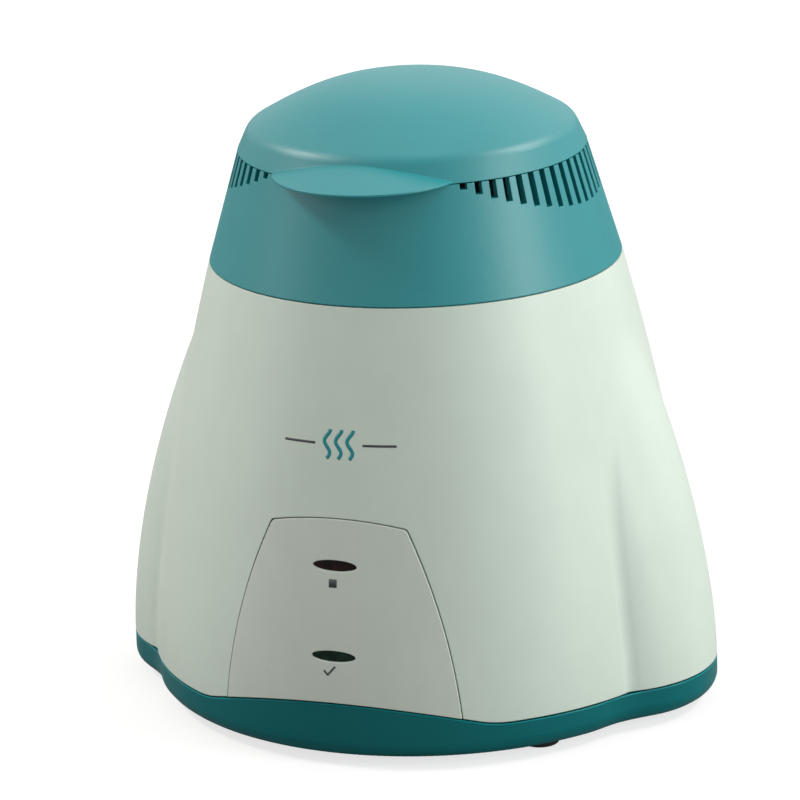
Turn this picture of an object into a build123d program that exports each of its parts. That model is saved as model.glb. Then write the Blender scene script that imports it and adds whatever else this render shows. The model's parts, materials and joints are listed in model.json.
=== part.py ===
from build123d import *
import os
from math import asin, cos, degrees, radians, sin, sqrt

# A glass bead sterilizer for the bench: a bell shaped plastic housing on a coloured tray, a
# slotted collar, a hinged lid with a finger lip, and a heated steel well full of glass beads.
# Millimetres. The feet stand on z = 0, the front faces -Y and the lid's hinge is at +Y.

# Heights of the housing
foot_show = 2.6            # how far the feet stand out of the tray
split_z = 13.2             # the shell's lower edge at the sides and the rear
arch_rise = 7.1            # the parting rises by this much at the front
arch_half = 46.3           # half width of that rise
arch_round = 30.0          # rounding where the rise begins
seam_z = 137.6             # shell and collar meet here
collar_high = 34.5
lid_high = 22.0

# Main form, round in plan, and the two side lobes that grow out of it
seam_radius = 64.0
body_flare = 22.0          # how much wider the round form is at the parting
bell_power = 1.5
lobe_radius = 36.3
lobe_reach = 59.2          # centre of each lobe at the parting, from the axis
lobe_rise = 36.0           # how far that centre has moved in at the seam's height
lobe_power = 1.72
lobe_angle = 84.8          # from the front
crease_soft = 5.0          # softness of the crease between lobe and round form
form_points = 64
form_levels = 6

# Walls and joints of the housing
shell_wall = 2.5
shadow_gap = 0.6           # dark line between tray and shell
tray_floor = 2.6
tray_edge = 5.0            # rounding under the tray
tray_wall = 3.3
tongue_wall = 1.6
tongue_high = 3.6
tongue_clear = 0.3
tongue_wide = 13.0
tongue_angles = (10, 45, 76, 94, 126, 158)
seam_groove = 0.4
boss_radius = 4.2
boss_place = 75.5          # screw towers, from the axis
boss_angle = 34.0
boss_high = 32.0
boss_rib = 2.4
screw_radius = 1.5
screw_shank = 1.3
screw_fit = 0.05
screw_head = 2.9
screw_head_high = 2.0
screw_head_round = 0.8
recess_long = 3.2          # cross recess in each screw's head
recess_wide = 0.8
recess_deep = 1.1
screw_bite = 16.0
screw_free = 0.2           # free hole round a shank
head_free = 0.3
root = 0.5                 # how far a feature runs into what carries it

# Feet
foot_radius = 6.0
foot_place_x = 53.5
foot_place_y = 51.0
foot_sunk = 1.2
foot_stem_radius = 2.6
foot_stem_clear = 0.1
foot_round = 1.2
foot_stem_up = 2.4         # above the tray's floor
foot_barb_gap = 0.15
foot_barb_high = 1.8
foot_barb_low = 1.0        # how much wider than the stem the barb starts
foot_barb_high_in = 0.6    # and how much narrower it ends

# Front panel and its two lamp windows
panel_top = 76.2
panel_shoulder = 73.6      # where its arched top meets its sides
panel_half_top = 21.6
panel_half_mid = 33.0
panel_mid = 42.6
panel_half_low = 38.2
panel_corner = 1.2
panel_bow = 2.6            # how far its sides bow out between shoulder and parting
panel_seam = 0.35
tab_wide = 8.0
tab_thick = 1.6
tab_reach = 4.0            # how far each tab runs behind the shell
tab_clear = 0.2
tab_drop = 6.0             # catches, below the windows
tab_in = 0.6               # degrees inside the panel's edge
window_half = 7.0
window_high = 3.6
stop_z = 62.0
ok_z = 34.6
lens_thick = 1.4
lens_flange = 1.4
lens_clear = 0.1
lens_sink = 0.5
lens_seat = 0.1            # its seat lies this far behind the panel's wall

# Collar and its vent slots
collar_wall = 2.6
cone_slope = 0.295         # radius lost for each millimetre of height
spigot_high = 4.0
spigot_wall = 1.8
spigot_clear = 0.25
slot_width = 2.3
slot_pitch = 4.95          # degrees
slot_count = 23
slot_deepest = 13.8
slot_fade = 1.52
ledge_z = 151.6
ledge_thick = 2.2
ledge_inner = 51.0

# Lid
lid_gap = 0.3
lid_wall = 2.4
lid_shoulder_in = 3.4
lid_shoulder_high = 7.4
lid_round = 6.0
lip_half = 28.3            # half the distance between the lip's tips
lip_reach = 14.2           # beyond the lid's rim
lip_edge = 0.6
lip_slope = 0.26
lip_crown = 0.5
liner_radius = 45.0
liner_thick = 2.0
liner_low = 2.6            # liner's underside, below the lid's rim
liner_screw_place = 32.0
liner_screws_n = 3
liner_boss = 3.4
liner_round = 1.2

# Hinge
hinge_y = 60.0
hinge_up = 0.2             # axis above the collar's rim
knuckle_radius = 4.0
pin_radius = 1.5
pin_clear = 0.05
lid_knuckle_half = 8.5
ear_gap = 0.4
ear_thick = 6.0
ear_drop = 13.0

# Bead chamber
deck_thick = 1.2
deck_clear = 0.5
funnel_drop = 4.2
funnel_outer = 48.0
funnel_inner = 29.0
deck_screw_place = 53.5
deck_screws_n = 4
well_radius = 22.0         # inside
well_deep = 60.0
well_wall = 1.2
well_flange = 27.5
well_round = 6.0
bead_low = 8.0             # beads' surface below the flange
heater_clear = 0.15
heater_thick = 2.2
heater_high = 42.0
heater_up = 8.0
clamp_half = 2.0           # half of the gap between the band's ears
clamp_ear = 1.4
clamp_reach = 8.0
clamp_screw_out = 4.5
clamp_root = 0.6
jacket_clear = 0.5
jacket_thick = 11.0
jacket_floor = 9.0
shield_wall = 0.8
shield_clear = 0.4
shield_flange = 6.0
thermostat_radius = 8.2
thermostat_high = 9.0
fuse_radius = 2.0
fuse_long = 10.0

# Rear recess with inlet and switch
recess_half = 34.0
recess_low = 27.0
recess_high = 32.0
recess_floor_y = 72.0
inlet_x = -14.0
inlet_cut = (27.0, 20.0)
inlet_face = (31.0, 24.0)
inlet_hole = (24.6, 16.4)
inlet_hole_deep = 16.0
inlet_back = 3.0
inlet_bezel = 2.0
inlet_fit = 0.1
blade_wide = 2.0
blade_high = 4.0
blade_long = 13.0
blade_pitch = 14.0
blade_offset = 2.0
switch_x = 19.0
switch_cut = (13.0, 19.2)
switch_face = (15.4, 21.4)
switch_wall = 1.2
switch_deep = 13.0
rocker_clear = 0.35
rocker_tilt = 11.0         # half of its full swing
rocker_axle = 1.2
rocker_deep = 3.4          # its axis behind the frame's face

# Electronics
board_thick = 1.6
board_half_x = 30.0
board_half_y = 22.0
board_y = 4.0
board_up = 6.0
lamp_board_half_x = 9.0
lamp_board_gap = 9.0       # behind the panel's lenses
lamp_radius = 2.4
lamp_gap = 1.2             # from its window
lamp_rim = 0.5
lamp_rim_thick = 1.0
lamp_board_over = 8.0      # beyond the lamps
post_radius = 2.6
post_half = 6.0            # from the middle of the lamp board
post_pin = 1.2
post_pin_free = 0.1
post_pin_over = 0.6
post_cap_radius = 2.0
post_cap_thick = 0.8
pillar_radius = 3.0
pillar_in_x = 4.0          # from the control board's edges
pillar_in_y = 2.0
tray_vent_width = 2.4
tray_vent_long = 34.0
tray_vents = 9
tray_vent_pitch = 6.4

# Places worked out from the sizes above
rim_z = seam_z + collar_high
rim_radius = seam_radius - cone_slope * collar_high
lid_z = rim_z + lid_gap
floor_z = foot_show + tray_floor
hinge_z = rim_z + hinge_up
deck_z = ledge_z
well_top = deck_z - funnel_drop + deck_thick
well_floor = well_top - well_deep
well_outer = well_radius + well_wall
bead_z = well_top - bead_low
heater_inner = well_outer + heater_clear
heater_outer = heater_inner + heater_thick
heater_z = well_floor + heater_up
jacket_inner = heater_outer + jacket_clear
jacket_outer = jacket_inner + jacket_thick
jacket_z = well_floor - well_wall - jacket_floor
shield_outer = jacket_outer + shield_clear + shield_wall
shield_z = jacket_z - shield_wall
board_z = floor_z + board_up
far = 130.0


def bell_radius(z):
    """Radius of the round form: a cone above the seam, an easing curve below it."""
    if z >= seam_z:
        return seam_radius - cone_slope * (z - seam_z)
    rest = max(0.0, (z - split_z) / (seam_z - split_z))
    return seam_radius + body_flare * (1 - rest ** bell_power)


def lobe_centre(z):
    """Distance of a lobe's centre from the axis, moving in towards the seam."""
    rest = max(0.0, (z - split_z) / (seam_z - split_z))
    return lobe_reach - lobe_rise * rest ** lobe_power


def form_radius(angle, z, inset):
    """Distance from the axis to the outline, where round form and lobes melt together."""
    radius = bell_radius(z) - inset
    for side in (-1, 1):
        turn = radians(angle - side * lobe_angle)
        centre = lobe_centre(z)
        reach = (lobe_radius - inset) ** 2 - (centre * sin(turn)) ** 2
        if reach <= 0 or cos(turn) <= 0:
            continue
        lobe = centre * cos(turn) + sqrt(reach)
        mix = min(1.0, max(0.0, 0.5 + 0.5 * (lobe - radius) / crease_soft))
        radius = radius * (1 - mix) + lobe * mix + crease_soft * mix * (1 - mix) / 2
    return radius


def polar(angle, radius, z=0.0):
    """A point at an angle from the front, turning towards +X."""
    return Vector(radius * sin(radians(angle)), -radius * cos(radians(angle)), z)


def form_section(z, inset):
    """The housing's closed outline at one height, drawn in from its surface."""
    angles = [180 + 360 * i / form_points for i in range(form_points)]
    points = [polar(a, form_radius(a, z, inset), z) for a in angles]
    return make_face(Spline(*points, periodic=True))


def form(low, high, inset=0.0, levels=form_levels):
    """The housing's form as a solid between two heights."""
    heights = [low + (high - low) * i / levels for i in range(levels + 1)]
    return loft([form_section(z, inset) for z in heights])


def form_wall(low, high, wall, floor=None, levels=form_levels):
    """The form as a thin wall, open at both ends or closed below by a floor."""
    outer = form(low, high, 0.0, levels).faces().sort_by(Axis.Z)
    inner = form(low if floor is None else floor, high, wall, levels).faces().sort_by(Axis.Z)
    faces = [outer[1], inner[1], Face(outer[2].outer_wire(), [inner[2].outer_wire()])]
    if floor is None:
        faces.append(Face(outer[0].outer_wire(), [inner[0].outer_wire()]))
    else:
        faces += [outer[0], inner[0]]
    return Solid(Shell(faces))


def disc(radius, low, high, x=0.0, y=0.0):
    """An upright cylinder between two heights."""
    return Pos(x, y, (low + high) / 2) * Cylinder(radius, high - low)


def ring(outer, inner, low, high, x=0.0, y=0.0):
    """An upright tube between two heights."""
    return disc(outer, low, high, x, y) - disc(inner, low - 1, high + 1, x, y)


def block(x0, x1, y0, y1, z0, z1):
    """A box between two corners."""
    size = Box(x1 - x0, y1 - y0, z1 - z0)
    return Pos((x0 + x1) / 2, (y0 + y1) / 2, (z0 + z1) / 2) * size


def spin(points):
    """A turned solid from (radius, height) corners."""
    face = make_face(Polyline(*[(r, 0, z) for r, z in points], close=True))
    return revolve(face, Axis.Z)


def around(count, radius, start=0.0):
    """Evenly spaced places on a circle about the axis."""
    return [polar(start + 360 * i / count, radius) for i in range(count)]


def above_parting(lift):
    """Everything above the parting, which arches up across the front."""
    low = split_z + lift
    left = Vector(-arch_half, 0, low)
    right = Vector(arch_half, 0, low)
    arch = ThreePointArc(left, Vector(0, 0, low + arch_rise), right)
    sides = Polyline(right, (far, 0, low), (far, 0, far * 2), (-far, 0, far * 2), (-far, 0, low), left)
    face = make_face([arch, sides])
    ends = [face.vertices().sort_by_distance(v)[0] for v in (left, right)]
    front = extrude(fillet(ends, arch_round), far, dir=(0, -1, 0))
    rear = block(-far, far, 0, far, low, far * 2)
    return front + rear


def boss_angles():
    """Angles of the screw towers that join tray and shell."""
    return (-boss_angle, boss_angle, 180 - boss_angle, 180 + boss_angle)


def boss_places():
    """Plan places of the screw towers."""
    return [polar(a, boss_place) for a in boss_angles()]


def panel_outline(inset):
    """The front panel's outline: arched top, bowed sides, open below the parting."""
    top = panel_top - inset
    shoulder = panel_shoulder - inset
    half_top = panel_half_top - inset
    half_mid = panel_half_mid - inset
    half_low = panel_half_low - inset
    low = split_z
    crown = ThreePointArc((-half_top, 0, shoulder), (0, 0, top), (half_top, 0, shoulder))
    right = ThreePointArc((half_top, 0, shoulder), (half_mid, 0, panel_mid), (half_low, 0, low))
    foot = Polyline((half_low, 0, low), (half_low, 0, 0), (-half_low, 0, 0), (-half_low, 0, low))
    left = ThreePointArc((-half_low, 0, low), (-half_mid, 0, panel_mid), (-half_top, 0, shoulder))
    face = make_face([crown, right, foot, left])
    corners = face.vertices().sort_by(Axis.Z)[-2:]
    return fillet(corners, panel_corner)


def panel_prism(inset):
    """The outline pushed through the front of the shell."""
    return extrude(panel_outline(inset), far, dir=(0, -1, 0))


def window(z, grow, y0, y1):
    """A long oval window from y0 to y1."""
    oval = Rot(90, 0, 0) * Ellipse(window_half + grow, window_high / 2 + grow)
    return Pos(0, y0, z) * extrude(oval, y1 - y0, dir=(0, 1, 0))


def window_depth(z):
    """Where the panel's outer surface lies on the centre line at this height."""
    return -bell_radius(z)


def make_base():
    """Tray: rounded lower edge, vented floor, upright tongues, screw and foot seats, pillars."""
    top = split_z + arch_rise + shadow_gap
    tray = form_wall(foot_show, top, tray_wall, floor_z, 2)
    tray = fillet(tray.edges().group_by(Axis.Z)[0], tray_edge) - above_parting(-shadow_gap)
    tray = tray + [make_tongue(side * angle) for angle in tongue_angles for side in (-1, 1)]
    tray = tray + [disc(boss_radius, floor_z - 1, split_z, p.X, p.Y) for p in boss_places()]
    tray = tray + [disc(pillar_radius, floor_z - root, board_z, x, y) for x, y in board_pillars()]
    holes = []
    for p in boss_places():
        holes.append(disc(screw_radius + screw_free, 0, far, p.X, p.Y))
        holes.append(disc(screw_head + head_free, 0, foot_show + screw_head_high, p.X, p.Y))
    for x, y in foot_places().values():
        holes.append(disc(foot_radius + foot_stem_clear, 0, foot_show + foot_sunk, x, y))
        holes.append(disc(foot_stem_radius + foot_stem_clear, 0, far, x, y))
    for x, y in board_pillars():
        holes.append(disc(screw_shank + screw_fit, floor_z, far, x, y))
    for i in range(tray_vents):
        x = (i - (tray_vents - 1) / 2) * tray_vent_pitch
        slot = SlotOverall(tray_vent_long, tray_vent_width, 90)
        holes.append(Pos(x, board_y, foot_show) * extrude(slot, tray_floor * 2, both=True))
    return tray - holes


def make_tongue(angle):
    """An upright tongue of the tray that locates the shell's lower edge from inside."""
    x = form_radius(angle, split_z, 0) * sin(radians(angle))
    rise = arch_rise * max(0.0, 1 - (x / arch_half) ** 2) if abs(angle) < 90 else 0.0
    top = split_z + tongue_high + rise
    spread = degrees(tongue_wide / 2 / form_radius(angle, top, shell_wall))
    outer = min(form_radius(angle + k * spread, top, shell_wall + tongue_clear) * cos(radians(k * spread))
                for k in (-1, 0, 1))
    tongue = block(-tongue_wide / 2, tongue_wide / 2, -outer, -outer + tongue_wall, floor_z - root, top)
    return Rot(0, 0, angle) * tongue


def board_pillars():
    """Plan places of the four pillars under the control board."""
    x = board_half_x - pillar_in_x
    y = board_half_y + pillar_in_y
    return [(sx * x, board_y + sy * y) for sx in (-1, 1) for sy in (-1, 1)]


def foot_places():
    """Plan places of the four feet."""
    places = {}
    for end, y in (("front", -foot_place_y), ("rear", foot_place_y)):
        for side, x in (("left", -foot_place_x), ("right", foot_place_x)):
            places[end + "_" + side] = (x, y)
    return places


def make_foot(x, y):
    """Rubber foot with a soft lower edge and a barbed stem pressed through the tray."""
    pad = disc(foot_radius, 0, foot_show + foot_sunk, x, y)
    pad = fillet(pad.edges().group_by(Axis.Z)[0], foot_round)
    stem = disc(foot_stem_radius, foot_show, floor_z + foot_stem_up, x, y)
    barb = Cone(foot_stem_radius + foot_barb_low, foot_stem_radius - foot_barb_high_in, foot_barb_high)
    barb = Pos(x, y, floor_z + foot_barb_gap + foot_barb_high / 2) * barb
    return pad + stem + barb


def make_tower(angle):
    """A screw tower of the shell, tied to the wall by a slanting rib."""
    low = split_z
    high = low + boss_high
    foot = bell_radius(low) - shell_wall / 2
    head = bell_radius(high) - shell_wall / 2
    rib = make_face(Polyline((0, -boss_place, low), (0, -foot, low), (0, -head, high),
                             (0, -boss_place, high), close=True))
    tower = disc(boss_radius, low, high, 0, -boss_place) + extrude(rib, boss_rib / 2, dir=(1, 0, 0), both=True)
    tower -= disc(screw_shank + screw_fit, low - 1, low + screw_bite, 0, -boss_place)
    return Rot(0, 0, angle) * tower


def make_shell():
    """The bell: thin wall, screw towers, panel opening, rear recess."""
    shell = form_wall(foot_show, seam_z, shell_wall) & above_parting(0)
    shell = shell - panel_prism(0)
    low = recess_low - shell_wall
    high = recess_low + recess_high + shell_wall
    middle = (low + high) / 2
    limit = spin([(0, low - 5), (bell_radius(low - 5) - shell_wall / 2, low - 5),
                  (bell_radius(middle) - shell_wall / 2, middle),
                  (bell_radius(high + 5) - shell_wall / 2, high + 5), (0, high + 5)])
    half = recess_half + shell_wall
    recess = block(-half, half, recess_floor_y - shell_wall, far, low, high) & limit
    shell = shell + recess + [make_tower(a) for a in boss_angles()]
    cuts = [block(-recess_half, recess_half, recess_floor_y, far, recess_low, recess_low + recess_high)]
    for x, size in ((inlet_x, inlet_cut), (switch_x, switch_cut)):
        cuts.append(framed(x, size, recess_floor_y - shell_wall - 1, recess_floor_y + 1))
    return shell - cuts


def make_tab(angle, z):
    """A catch on the panel's back that runs behind the shell's edge."""
    radius = bell_radius(z + tab_wide / 2) - shell_wall
    back = -radius + tab_thick + tab_clear
    stem = block(-tab_reach, 0, -radius - shell_wall / 2, back, -tab_wide / 2, tab_wide / 2)
    nose = block(-1, tab_reach, -radius + tab_clear, back, -tab_wide / 2, tab_wide / 2)
    tab = Pos(0, 0, z) * (stem + nose)
    return Rot(0, 0, angle) * (tab if angle > 0 else mirror(tab, Plane.YZ))


def panel_edge_angle(z):
    """Angle from the front at which the panel's side edge lies at this height."""
    t = (panel_shoulder - z) / (panel_shoulder - split_z)
    half = panel_half_top + (panel_half_low - panel_half_top) * t + (1 - (2 * t - 1) ** 2) * panel_bow
    return degrees(asin(half / bell_radius(z)))


def make_panel():
    """Front panel: a plug for the shell's opening, with windows, catches and lamp board posts."""
    panel = form_wall(foot_show, seam_z, shell_wall) & panel_prism(panel_seam)
    panel = panel & above_parting(0)
    for z in (stop_z - tab_drop, ok_z - tab_drop):
        edge = panel_edge_angle(z) - tab_in
        panel = panel + [make_tab(edge, z), make_tab(-edge, z)]
    for z in post_heights():
        foot_y = window_depth(z) + shell_wall - 1
        seat_y = lamp_board_y()
        panel += rod(post_radius, foot_y, seat_y, z)
        panel += rod(post_pin, seat_y - 1, seat_y + board_thick + post_pin_over, z)
        panel += rod(post_cap_radius, seat_y + board_thick, seat_y + board_thick + post_cap_thick, z)
    for z in (stop_z, ok_z):
        panel -= window(z, 0, -far, -40)
        panel -= window(z, lens_flange + lens_clear, lens_seat_y(z), -40)
    return panel


def rod(radius, y0, y1, z, x=0.0):
    """A cylinder that lies along Y."""
    return Pos(x, (y0 + y1) / 2, z) * Rot(90, 0, 0) * Cylinder(radius, y1 - y0)


def post_heights():
    """Heights of the two posts that carry the lamp board."""
    middle = (stop_z + ok_z) / 2
    return (middle - post_half, middle + post_half)


def lens_seat_y(z):
    """The flat seat of a lens on the panel's back."""
    return window_depth(z) + shell_wall + lens_seat


def make_lens(z):
    """Tinted window: an oval plug with a flange behind the panel."""
    seat = lens_seat_y(z)
    plug = window(z, -lens_clear, window_depth(z) + lens_sink, seat + lens_seat)
    flange = window(z, lens_flange, seat, seat + lens_thick)
    return plug + flange


def make_lamp(z):
    """Domed lamp on the small board, pointing at its window."""
    tip = window_depth(z) + shell_wall + lens_thick + lamp_gap
    seat = lamp_board_y()
    body = Pos(0, (tip + seat) / 2, z) * Rot(90, 0, 0) * Cylinder(lamp_radius, seat - tip)
    body = fillet(body.edges().group_by(Axis.Y)[0], lamp_radius * 0.8)
    rim = Rot(90, 0, 0) * Cylinder(lamp_radius + lamp_rim, lamp_rim_thick)
    rim = Pos(0, seat - lamp_rim_thick / 2, z) * rim
    return body + rim


def lamp_board_y():
    """Front face of the small lamp board."""
    return window_depth(stop_z) + shell_wall + lens_thick + lamp_board_gap


def make_lamp_board():
    """Small upright board that carries both lamps, on two standoffs from the panel."""
    y = lamp_board_y()
    half = lamp_board_half_x
    board = block(-half, half, y, y + board_thick, ok_z - lamp_board_over, stop_z + lamp_board_over)
    return board - [rod(post_pin + post_pin_free, y - 1, y + board_thick + 1, z) for z in post_heights()]


def make_collar():
    """Collar: conical wall with a spigot, vent slots open at the rim, deck ledge, hinge ears."""
    inner_low = seam_radius - collar_wall
    inner_rim = rim_radius - collar_wall
    spigot_outer = seam_radius - shell_wall - spigot_clear
    spigot_inner = spigot_outer - spigot_wall
    low = seam_z
    wall = spin([
        (seam_radius - cone_slope * seam_groove, low + seam_groove),
        (rim_radius, rim_z),
        (inner_rim, rim_z),
        (inner_low - cone_slope * 6, low + 6),
        (spigot_inner, low + 1),
        (spigot_inner, low - spigot_high),
        (spigot_outer, low - spigot_high),
        (spigot_outer, low),
        (seam_radius - 1.0, low),
        (seam_radius - 1.0, low + seam_groove),
    ])
    ledge_outer = bell_radius(ledge_z) - collar_wall / 2
    shelf = spin([
        (ledge_outer, ledge_z),
        (ledge_inner, ledge_z),
        (ledge_inner, ledge_z - ledge_thick),
        (ledge_outer + cone_slope * 5, ledge_z - ledge_thick - 5),
    ])
    collar = wall + shelf + [make_ear(side) for side in (-1, 1)]
    cuts = []
    for side in (-1, 1):
        for i in range(slot_count):
            turn = (i - (slot_count - 1) / 2) * slot_pitch
            deep = slot_deepest * cos(radians(turn * slot_fade))
            cutter = block(-slot_width / 2, slot_width / 2, -rim_radius - 8, -rim_radius + 8,
                           rim_z - deep, rim_z + 5)
            cuts.append(Rot(0, 0, side * (90 + turn)) * cutter)
    for p in around(deck_screws_n, deck_screw_place, 45):
        cuts.append(disc(screw_shank + screw_fit, ledge_z - ledge_thick - 8, ledge_z + 1, p.X, p.Y))
    return collar - cuts


def make_ear(side):
    """One outer knuckle of the hinge on its web, standing out of the collar's rear."""
    wall_y = rim_radius - collar_wall / 2
    x0 = lid_knuckle_half + ear_gap
    low = rim_z - ear_drop
    low_y = bell_radius(low) - collar_wall / 2
    web = make_face(Polyline((x0, wall_y, rim_z), (x0, low_y, low), (x0, hinge_y + knuckle_radius, hinge_z),
                             (x0, hinge_y, hinge_z + knuckle_radius / 2), close=True))
    web = extrude(web, ear_thick, dir=(1, 0, 0))
    knuckle = Pos(x0 + ear_thick / 2, hinge_y, hinge_z) * Rot(0, 90, 0) * Cylinder(knuckle_radius, ear_thick)
    bore = Pos(0, hinge_y, hinge_z) * Rot(0, 90, 0) * Cylinder(pin_radius + pin_clear, far)
    ear = web + knuckle - bore
    return ear if side > 0 else mirror(ear, Plane.YZ)


def lid_profile(inset):
    """Half section of the lid: leaning side, rounded shoulder, low dome."""
    low = lid_z
    side_low = (rim_radius - inset, 0, low)
    shoulder = Vector(rim_radius - lid_shoulder_in - inset, 0, low + lid_shoulder_high - inset / 2)
    top = Vector(0, 0, low + lid_high - inset)
    mid = Vector(shoulder.X * 0.55, 0, top.Z - (top.Z - shoulder.Z) * 0.26)
    dome = Spline(shoulder, mid, top, tangents=[(-0.88, 0, 0.52), (-1, 0, 0)])
    edges = [Line(side_low, shoulder), dome, Line(top, (0, 0, low)), Line((0, 0, low), side_low)]
    face = make_face(edges)
    corner = face.vertices().sort_by_distance(shoulder)[0]
    return fillet(corner, lid_round - inset / 2)


def make_lip():
    """Finger lip: the front of a low dome that stands in the lid and ends in a thin edge."""
    out = rim_radius + lip_reach - sqrt(rim_radius ** 2 - lip_half ** 2)
    radius = (lip_half ** 2 + out ** 2) / (2 * out)
    edge = Vector(radius, 0, lip_edge)
    apex = Vector(0, 0, lip_edge + lip_slope * radius)
    crown = (edge + apex) / 2 + Vector(0, 0, lip_crown)
    face = make_face([ThreePointArc(edge, crown, apex), Polyline(apex, (0, 0, 0), (radius, 0, 0), edge)])
    return Pos(0, radius - rim_radius - lip_reach, lid_z) * revolve(face, Axis.Z)


def make_lid():
    """Lid: domed shell with lip, rear arm and centre knuckle, bosses for the liner."""
    outer = revolve(lid_profile(0), Axis.Z)
    solid = outer + make_lip()
    hollow = revolve(lid_profile(lid_wall), Axis.Z) & block(-far, far, -far, far, 0, lid_z + lid_high)
    lid = solid - hollow
    for p in around(liner_screws_n, liner_screw_place):
        boss = disc(liner_boss, lid_z - liner_low + liner_thick, lid_z + lid_high, p.X, p.Y)
        boss = boss & (outer + disc(rim_radius - 8, 0, lid_z + 1))
        lid = lid + boss - disc(screw_shank + screw_fit, 0, lid_z + 8, p.X, p.Y)
    arm_top = hinge_z + knuckle_radius
    arm = block(-lid_knuckle_half, lid_knuckle_half, rim_radius - lid_shoulder_in, hinge_y, lid_z, arm_top)
    arm = arm - revolve(lid_profile(lid_wall), Axis.Z)
    knuckle = Pos(0, hinge_y, hinge_z) * Rot(0, 90, 0) * Cylinder(knuckle_radius, 2 * lid_knuckle_half)
    bore = Pos(0, hinge_y, hinge_z) * Rot(0, 90, 0) * Cylinder(pin_radius + pin_clear, far)
    return lid + arm + knuckle - bore


def make_liner():
    """Pressed steel plate under the lid, with a turned rim."""
    low = lid_z - liner_low
    plate = disc(liner_radius, low, low + liner_thick)
    plate = fillet(plate.edges().group_by(Axis.Z)[0], liner_round)
    for p in around(liner_screws_n, liner_screw_place):
        plate -= disc(screw_radius + screw_free, 0, far * 2, p.X, p.Y)
    return plate


def make_screw(x, y, seat, length, up=1):
    """Pan head screw: its head lies on one side of the seat, its shank runs to the other."""
    head = disc(screw_head, 0, screw_head_high)
    head = fillet(head.edges().group_by(Axis.Z)[-1], screw_head_round)
    arm = Pos(0, 0, screw_head_high) * Box(recess_long, recess_wide, 2 * recess_deep)
    shank = disc(screw_shank, -length, 0)
    screw = head - arm - Rot(0, 0, 90) * arm + shank
    if up < 0:
        screw = Rot(180, 0, 0) * screw
    return Pos(x, y, seat) * screw


def make_pin():
    """Hinge pin through both ears and the lid's knuckle."""
    half = lid_knuckle_half + ear_gap + ear_thick - 0.5
    return Pos(0, hinge_y, hinge_z) * Rot(0, 90, 0) * Cylinder(pin_radius, 2 * half)


def make_deck():
    """Steel deck: a shallow funnel that leads stray beads back to the well."""
    outer = bell_radius(deck_z + deck_thick) - collar_wall - deck_clear
    low = deck_z - funnel_drop
    deck = spin([
        (outer, deck_z),
        (outer, deck_z + deck_thick),
        (funnel_outer, deck_z + deck_thick),
        (funnel_inner, low + deck_thick),
        (well_outer + 0.3, low + deck_thick),
        (well_outer + 0.3, low),
        (funnel_inner, low),
        (funnel_outer, deck_z),
    ])
    for p in around(deck_screws_n, deck_screw_place, 45):
        deck -= disc(screw_radius + screw_free, 0, far * 2, p.X, p.Y)
    return deck


def make_well():
    """Bead well: a drawn steel cup with a rounded bottom and a rolled flange."""
    cup = disc(well_outer, well_floor - well_wall, well_top)
    cup = fillet(cup.edges().group_by(Axis.Z)[0], well_round + well_wall)
    bore = disc(well_radius, well_floor, well_top + 1)
    bore = fillet(bore.edges().group_by(Axis.Z)[0], well_round)
    flange = ring(well_flange, well_radius, well_top, well_top + well_wall)
    flange = fillet(flange.edges().group_by(Axis.Z)[-1], 0.5)
    return cup - bore + flange


def make_beads():
    """The bead filling as one body, a little heaped."""
    fill = disc(well_radius, well_floor, bead_z)
    return fillet(fill.edges().group_by(Axis.Z)[0], well_round)


def make_heater():
    """Band heater clamped round the well, split at the rear with two clamp ears."""
    top = heater_z + heater_high
    band = ring(heater_outer, heater_inner, heater_z, top)
    band -= block(-clamp_half, clamp_half, 0, far, 0, far * 2)
    for side in (-1, 1):
        inner = clamp_half * side
        outer = (clamp_half + clamp_ear) * side
        band += block(min(inner, outer), max(inner, outer), heater_inner + clamp_root,
                      heater_outer + clamp_reach, heater_z, top)
    hole = Rot(0, 90, 0) * Cylinder(1.7, 20)
    hole = Pos(0, heater_outer + clamp_screw_out, heater_z + heater_high / 2) * hole
    return band - hole


def make_clamp_screw():
    """Screw and nut that draw the band heater's ears together."""
    place = Pos(0, heater_outer + clamp_screw_out, heater_z + heater_high / 2) * Rot(0, 90, 0)
    shank = place * Cylinder(1.4, 13)
    head = place * Pos(0, 0, -5.0) * Cylinder(2.8, 3.0)
    nut = place * Pos(0, 0, 4.9) * extrude(RegularPolygon(3.2, 6), 2.4, both=False)
    return shank + head + Pos(-1.3, 0, 0) * nut


def make_jacket():
    """Ceramic fibre jacket: a thick cup round heater and well."""
    jacket = disc(jacket_outer, jacket_z, heater_z + heater_high)
    jacket -= disc(jacket_inner, jacket_z + jacket_floor - 1, far * 2)
    jacket -= block(-7.6, 7.6, 0, heater_outer + 9.5, jacket_z + jacket_floor - 1, far * 2)
    jacket += ring(jacket_inner + 1, well_outer - 8, jacket_z + jacket_floor - 1.5, jacket_z + jacket_floor)
    return jacket


def make_shield():
    """Thin aluminium can, spot welded under the deck by its sloping flange."""
    slope = funnel_drop / (funnel_outer - funnel_inner)
    inner = shield_outer - shield_wall
    brim = shield_outer + shield_flange
    under = deck_z - funnel_drop

    def deck_under(radius):
        return under + slope * (radius - funnel_inner)

    return spin([
        (0, shield_z), (shield_outer, shield_z), (shield_outer, deck_under(shield_outer) - shield_wall),
        (brim, deck_under(brim) - shield_wall), (brim, deck_under(brim)), (inner, deck_under(inner)),
        (inner, shield_z + shield_wall), (0, shield_z + shield_wall),
    ])


def make_thermostat():
    """Disc thermostat on the can's floor, with two blade terminals."""
    top = shield_z
    body = disc(thermostat_radius, top - thermostat_high, top)
    body += disc(thermostat_radius + 1.2, top - 3.4, top - 1.0)
    for x in (-3.5, 3.5):
        body += block(x - 0.4, x + 0.4, -3.2, 3.2, top - thermostat_high - 7, top - thermostat_high)
    return body


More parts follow.
